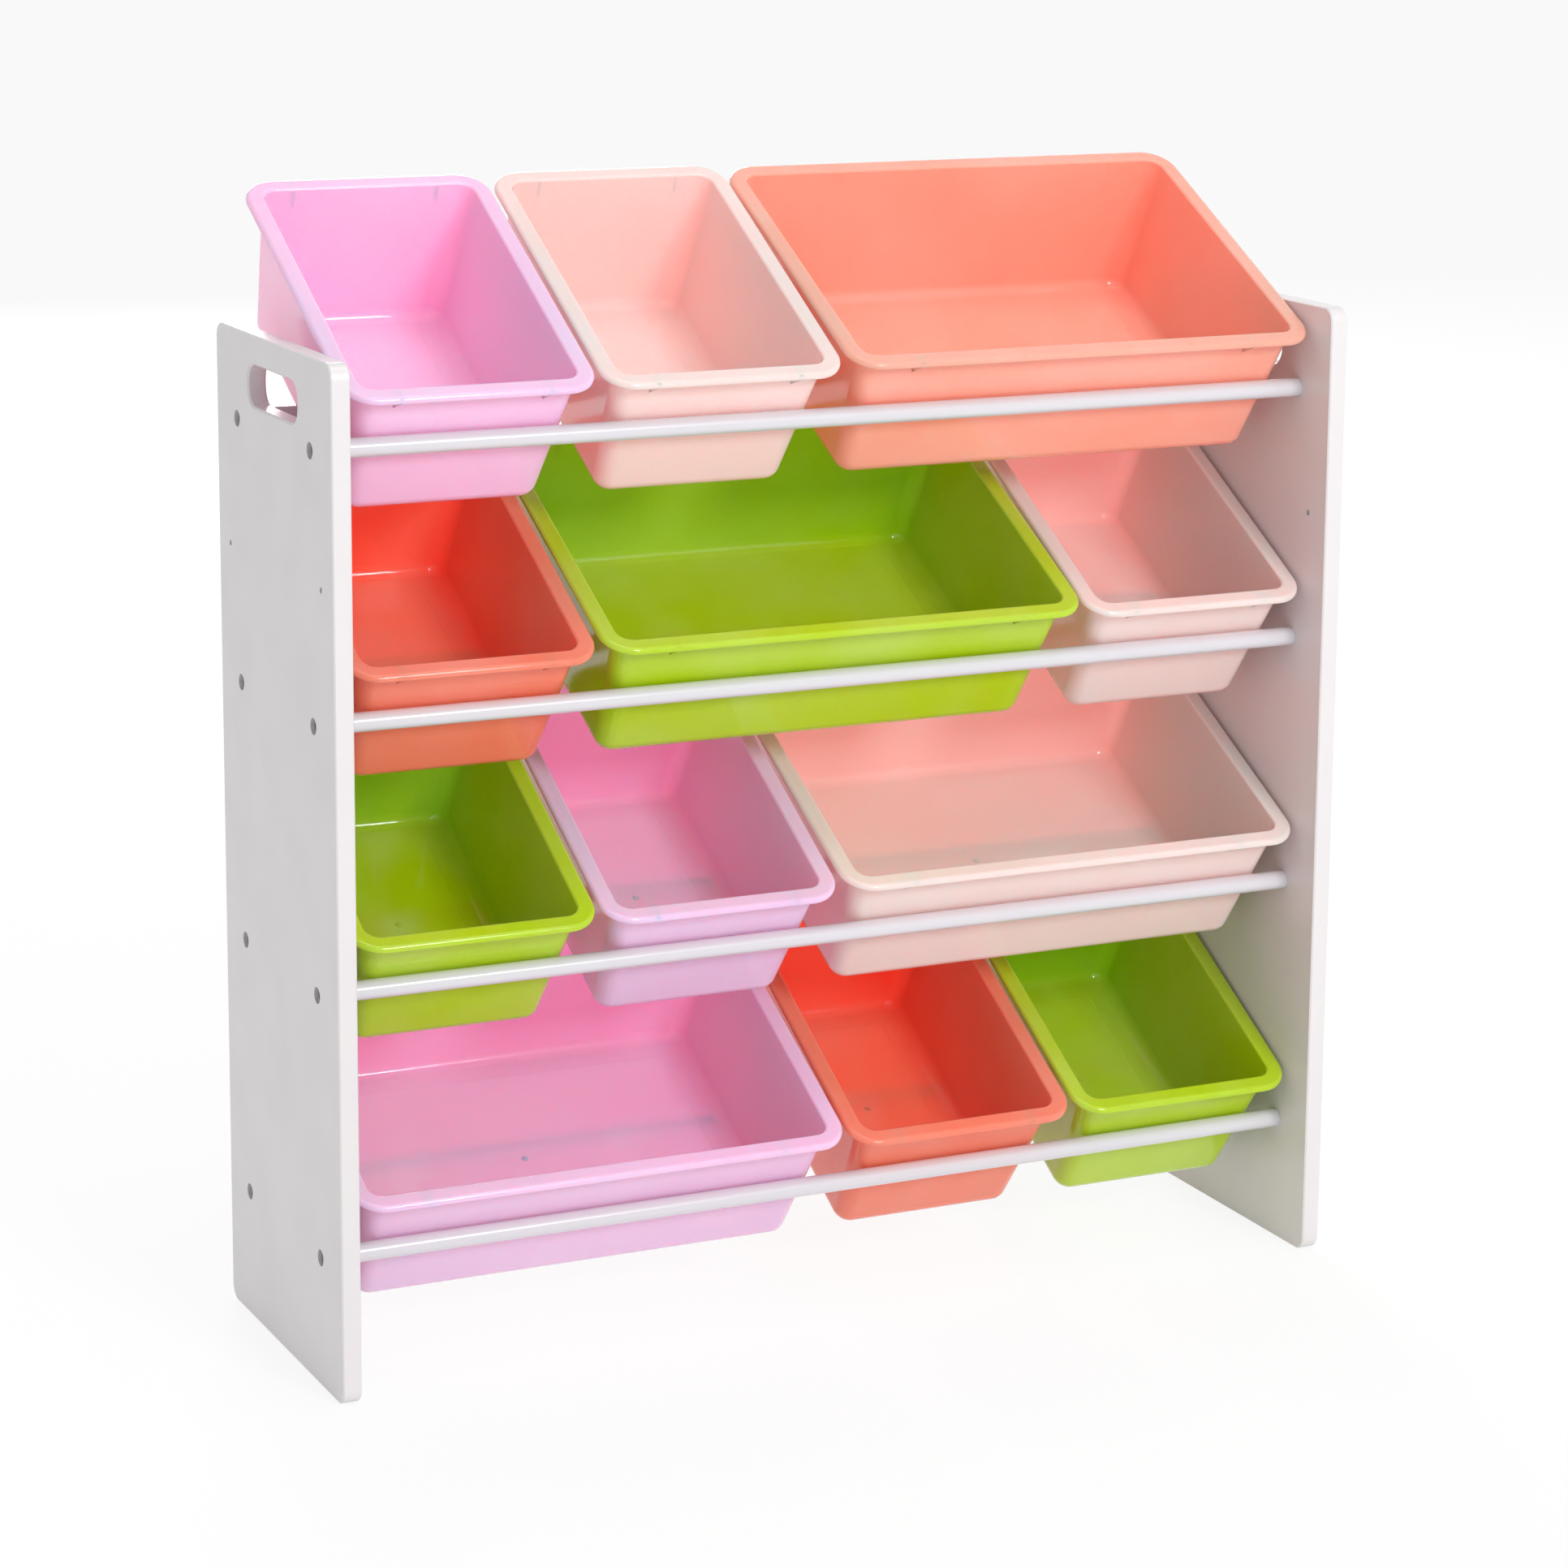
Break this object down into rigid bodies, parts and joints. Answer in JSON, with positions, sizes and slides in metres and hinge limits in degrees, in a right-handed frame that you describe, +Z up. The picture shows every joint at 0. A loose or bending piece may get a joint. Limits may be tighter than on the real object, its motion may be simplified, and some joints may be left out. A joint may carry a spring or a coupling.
{
  "type": "toy storage organizer with bins",
  "caption": "Free-standing toy storage rack: two side panels joined by cross rods that carry rows of tilted lift-out bins in two widths.",
  "frame": {"origin": "on the floor, below the middle of the bounding box", "axes": "+X to the right as seen from the open front, +Y from the front to the rear, +Z up"},
  "size_m": [0.858, 0.301, 0.8956],
  "materials": {
    "panel_paint": "satin white paint",
    "rod_steel": "glossy light grey",
    "plug_plastic": "white",
    "screw_steel": "zinc plated",
    "bin_lilac": "translucent satin lilac",
    "bin_blush": "translucent satin pale pink",
    "bin_light_coral": "translucent satin light coral",
    "bin_coral": "translucent satin coral",
    "bin_green": "translucent satin lime green"
  },
  "bodies": {
    "frame": {"left_panel": "panel_paint", "right_panel": "panel_paint", "front_rod_1": "rod_steel", "rear_rod_1": "rod_steel", "front_rod_2": "rod_steel", "rear_rod_2": "rod_steel", "front_rod_3": "rod_steel", "rear_rod_3": "rod_steel", "front_rod_4": "rod_steel", "rear_rod_4": "rod_steel", "rod_plugs_left": "plug_plastic", "screws_left": "screw_steel", "rod_plugs_right": "plug_plastic", "screws_right": "screw_steel"},
    "bin_row1_lilac": {"bin_row1_lilac": "bin_lilac"},
    "bin_row1_blush": {"bin_row1_blush": "bin_blush"},
    "bin_row1_coral": {"bin_row1_coral": "bin_light_coral"},
    "bin_row2_coral": {"bin_row2_coral": "bin_coral"},
    "bin_row2_green": {"bin_row2_green": "bin_green"},
    "bin_row2_blush": {"bin_row2_blush": "bin_blush"},
    "bin_row3_green": {"bin_row3_green": "bin_green"},
    "bin_row3_lilac": {"bin_row3_lilac": "bin_lilac"},
    "bin_row3_blush": {"bin_row3_blush": "bin_blush"},
    "bin_row4_lilac": {"bin_row4_lilac": "bin_lilac"},
    "bin_row4_coral": {"bin_row4_coral": "bin_coral"},
    "bin_row4_green": {"bin_row4_green": "bin_green"}
  },
  "joints": [
    {"name": "bin_row1_lilac_lift", "type": "slide", "parent": "frame", "child": "bin_row1_lilac", "axis": [0, -0.4848, 0.8746], "range_m": [0, 0.15]},
    {"name": "bin_row1_blush_lift", "type": "slide", "parent": "frame", "child": "bin_row1_blush", "axis": [0, -0.4848, 0.8746], "range_m": [0, 0.15]},
    {"name": "bin_row1_coral_lift", "type": "slide", "parent": "frame", "child": "bin_row1_coral", "axis": [0, -0.4602, 0.8878], "range_m": [0, 0.15]},
    {"name": "bin_row2_coral_lift", "type": "slide", "parent": "frame", "child": "bin_row2_coral", "axis": [0, -0.4848, 0.8746], "range_m": [0, 0.04]},
    {"name": "bin_row2_green_lift", "type": "slide", "parent": "frame", "child": "bin_row2_green", "axis": [0, -0.4602, 0.8878], "range_m": [0, 0.04]},
    {"name": "bin_row2_blush_lift", "type": "slide", "parent": "frame", "child": "bin_row2_blush", "axis": [0, -0.4848, 0.8746], "range_m": [0, 0.04]},
    {"name": "bin_row3_green_lift", "type": "slide", "parent": "frame", "child": "bin_row3_green", "axis": [0, -0.4848, 0.8746], "range_m": [0, 0.04]},
    {"name": "bin_row3_lilac_lift", "type": "slide", "parent": "frame", "child": "bin_row3_lilac", "axis": [0, -0.4848, 0.8746], "range_m": [0, 0.04]},
    {"name": "bin_row3_blush_lift", "type": "slide", "parent": "frame", "child": "bin_row3_blush", "axis": [0, -0.4602, 0.8878], "range_m": [0, 0.04]},
    {"name": "bin_row4_lilac_lift", "type": "slide", "parent": "frame", "child": "bin_row4_lilac", "axis": [0, -0.4602, 0.8878], "range_m": [0, 0.04]},
    {"name": "bin_row4_coral_lift", "type": "slide", "parent": "frame", "child": "bin_row4_coral", "axis": [0, -0.4848, 0.8746], "range_m": [0, 0.04]},
    {"name": "bin_row4_green_lift", "type": "slide", "parent": "frame", "child": "bin_row4_green", "axis": [0, -0.4848, 0.8746], "range_m": [0, 0.04]}
  ]
}
